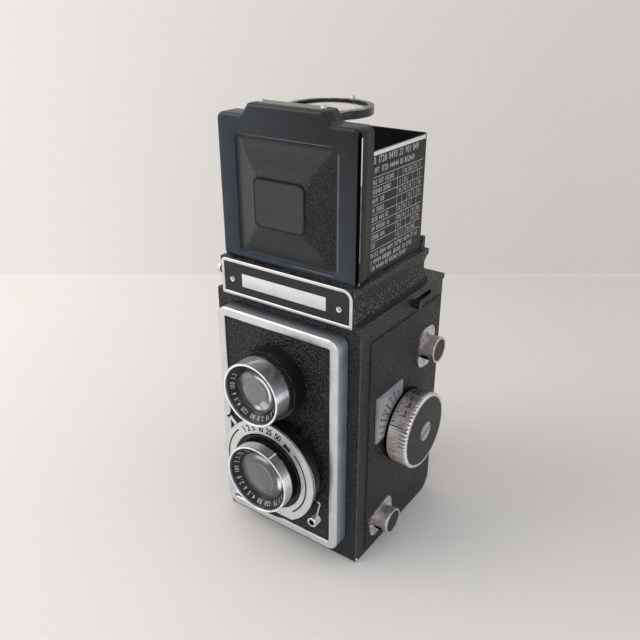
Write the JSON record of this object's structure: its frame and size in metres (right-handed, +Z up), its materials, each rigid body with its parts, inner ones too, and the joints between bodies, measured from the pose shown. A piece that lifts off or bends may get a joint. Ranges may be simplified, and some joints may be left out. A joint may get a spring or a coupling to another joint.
{
  "type": "twin lens reflex camera",
  "caption": "Roll film camera with a viewing lens above a taking lens, open folding hood, rack driven lens board, leaf shutter levers, film spools and a hinged back.",
  "frame": {"origin": "mouth of the tripod socket in the plane on which the camera stands", "axes": "+Z up, -Y the way the lenses look, +X the side with the focus knob"},
  "size_m": [0.0977, 0.098, 0.2043],
  "materials": {
    "black_enamel": "satin black enamel",
    "blue_black_enamel": "satin blue black enamel",
    "black_leather": "grained black leather",
    "flat_black": "matt black",
    "chrome": "polished",
    "satin_chrome": "satin",
    "steel": "brushed",
    "dark_steel": "blackened",
    "brass": "machined",
    "aluminium": "satin",
    "lens_glass": "polished",
    "screen_glass": "ground",
    "red_glass": "clear red",
    "mirror_glass": "silvered"
  },
  "bodies": {
    "camera": {"body_shell": "black_enamel", "body_leathers": "black_leather", "mirror_box": "flat_black", "reflex_mirror": "mirror_glass", "light_tunnel": "flat_black", "film_gate": "flat_black", "focusing_screen": "screen_glass", "screen_frame": "flat_black", "hood_base": "black_enamel", "name_plate": "black_enamel", "name_plate_screws": "satin_chrome", "hood_lid": "blue_black_enamel", "lid_centre_plate": "blue_black_enamel", "hood_pins": "steel", "depth_scale_plate": "aluminium", "knob_plates": "satin_chrome", "plate_rivets": "satin_chrome", "supply_pivot": "steel", "door_hinge_pin": "steel", "tripod_socket": "steel"},
    "focus_drive": {"focus_knob": "satin_chrome", "focus_knob_face": "black_enamel", "focus_knob_screw": "chrome", "focus_shaft": "brass"},
    "lens_unit": {"board_frame": "satin_chrome", "lens_board": "black_enamel", "board_leather": "black_leather", "guide_rods": "steel", "focus_rack": "brass", "viewing_lens_mount": "black_enamel", "viewing_lens_rim": "chrome", "viewing_lens_glass": "lens_glass", "shutter_housing": "black_enamel", "shutter_face": "aluminium", "shutter_blades": "dark_steel", "taking_lens_barrel": "black_enamel", "taking_lens_rim": "chrome", "taking_lens_glass": "lens_glass"},
    "speed_setting": {"speed_ring": "black_enamel"},
    "cocking": {"cocking_lever": "chrome"},
    "release": {"release_lever": "chrome"},
    "aperture": {"aperture_lever": "chrome"},
    "upper_knob": {"upper_spool_knob": "satin_chrome"},
    "lower_knob": {"lower_spool_knob": "satin_chrome"},
    "winder": {"winding_knob": "satin_chrome"},
    "take_up": {"take_up_spool": "dark_steel"},
    "supply": {"supply_spool": "dark_steel"},
    "upper_roller": {"upper_film_roller": "steel"},
    "lower_roller": {"lower_film_roller": "steel"},
    "door": {"back_door": "black_enamel", "pressure_plate": "steel", "red_window": "red_glass"},
    "window_cover": {"red_window_cover": "black_enamel"},
    "latch": {"back_latch": "black_enamel"},
    "left_panel": {"hood_left_panel": "black_enamel"},
    "right_panel": {"hood_right_panel": "black_enamel"},
    "rear_panel": {"hood_rear_panel": "black_enamel"},
    "magnifier": {"magnifier_frame": "dark_steel", "magnifier_lens": "lens_glass"},
    "catch": {"hood_catch": "chrome"}
  },
  "joints": [
    {"name": "focus_turn", "type": "hinge", "parent": "camera", "child": "focus_drive", "pos_m": [0.044, -0.007, 0.0578], "axis": [1, 0, 0], "range_deg": [0, 149]},
    {"name": "board_slide", "type": "slide", "parent": "camera", "child": "lens_unit", "axis": [0, -1, 0], "range_m": [0, 0.0065]},
    {"name": "speed_turn", "type": "hinge", "parent": "lens_unit", "child": "speed_setting", "pos_m": [0, -0.0605, 0.0462], "axis": [0, 1, 0], "range_deg": [-30, 30]},
    {"name": "cocking_turn", "type": "hinge", "parent": "lens_unit", "child": "cocking", "pos_m": [0, -0.059, 0.0462], "axis": [0, -1, 0], "range_deg": [0, 40]},
    {"name": "release_turn", "type": "hinge", "parent": "lens_unit", "child": "release", "pos_m": [0, -0.058, 0.0462], "axis": [0, 1, 0], "range_deg": [0, 12]},
    {"name": "aperture_turn", "type": "hinge", "parent": "lens_unit", "child": "aperture", "pos_m": [0, -0.057, 0.0462], "axis": [0, -1, 0], "range_deg": [0, 40]},
    {"name": "upper_knob_pull", "type": "slide", "parent": "camera", "child": "upper_knob", "axis": [1, 0, 0], "range_m": [0, 0.0042]},
    {"name": "lower_knob_pull", "type": "slide", "parent": "camera", "child": "lower_knob", "axis": [1, 0, 0], "range_m": [0, 0.0042]},
    {"name": "winding_turn", "type": "hinge", "parent": "camera", "child": "winder", "pos_m": [-0.043, 0.0118, 0.0905], "axis": [1, 0, 0], "continuous": true},
    {"name": "take_up_turn", "type": "hinge", "parent": "camera", "child": "take_up", "pos_m": [0, 0.0118, 0.0905], "axis": [1, 0, 0], "continuous": true},
    {"name": "supply_turn", "type": "hinge", "parent": "camera", "child": "supply", "pos_m": [0, -0.0245, 0.0146], "axis": [1, 0, 0], "continuous": true},
    {"name": "upper_roller_turn", "type": "hinge", "parent": "camera", "child": "upper_roller", "pos_m": [0, 0.0176, 0.0769], "axis": [1, 0, 0], "continuous": true},
    {"name": "lower_roller_turn", "type": "hinge", "parent": "camera", "child": "lower_roller", "pos_m": [0, 0.0176, 0.0155], "axis": [1, 0, 0], "continuous": true},
    {"name": "door_swing", "type": "hinge", "parent": "camera", "child": "door", "pos_m": [0, -0.0438, 0.0012], "axis": [-1, 0, 0], "range_deg": [0, 100]},
    {"name": "window_cover_swing", "type": "hinge", "parent": "door", "child": "window_cover", "pos_m": [0.009, 0.027, 0.0462], "axis": [0, 1, 0], "range_deg": [0, 90]},
    {"name": "latch_slide", "type": "slide", "parent": "camera", "child": "latch", "axis": [0, 1, 0], "range_m": [0, 0.006]},
    {"name": "left_panel_fold", "type": "hinge", "parent": "camera", "child": "left_panel", "pos_m": [-0.0323, -0.015, 0.1405], "axis": [0, 1, 0], "range_deg": [0, 90]},
    {"name": "right_panel_fold", "type": "hinge", "parent": "camera", "child": "right_panel", "pos_m": [0.0323, -0.015, 0.1389], "axis": [0, -1, 0], "range_deg": [0, 90]},
    {"name": "rear_panel_fold", "type": "hinge", "parent": "camera", "child": "rear_panel", "pos_m": [0, 0.014, 0.1421], "axis": [1, 0, 0], "range_deg": [0, 90]},
    {"name": "magnifier_swing", "type": "hinge", "parent": "camera", "child": "magnifier", "pos_m": [0, -0.036, 0.2008], "axis": [-1, 0, 0], "range_deg": [0, 88]},
    {"name": "catch_press", "type": "slide", "parent": "camera", "child": "catch", "axis": [1, 0, 0], "range_m": [0, 0.001]}
  ],
  "couplings": [
    {"joint": "focus_turn", "follows": "board_slide", "rad_per_m": 400},
    {"joint": "take_up_turn", "follows": "winding_turn", "ratio": 1}
  ]
}
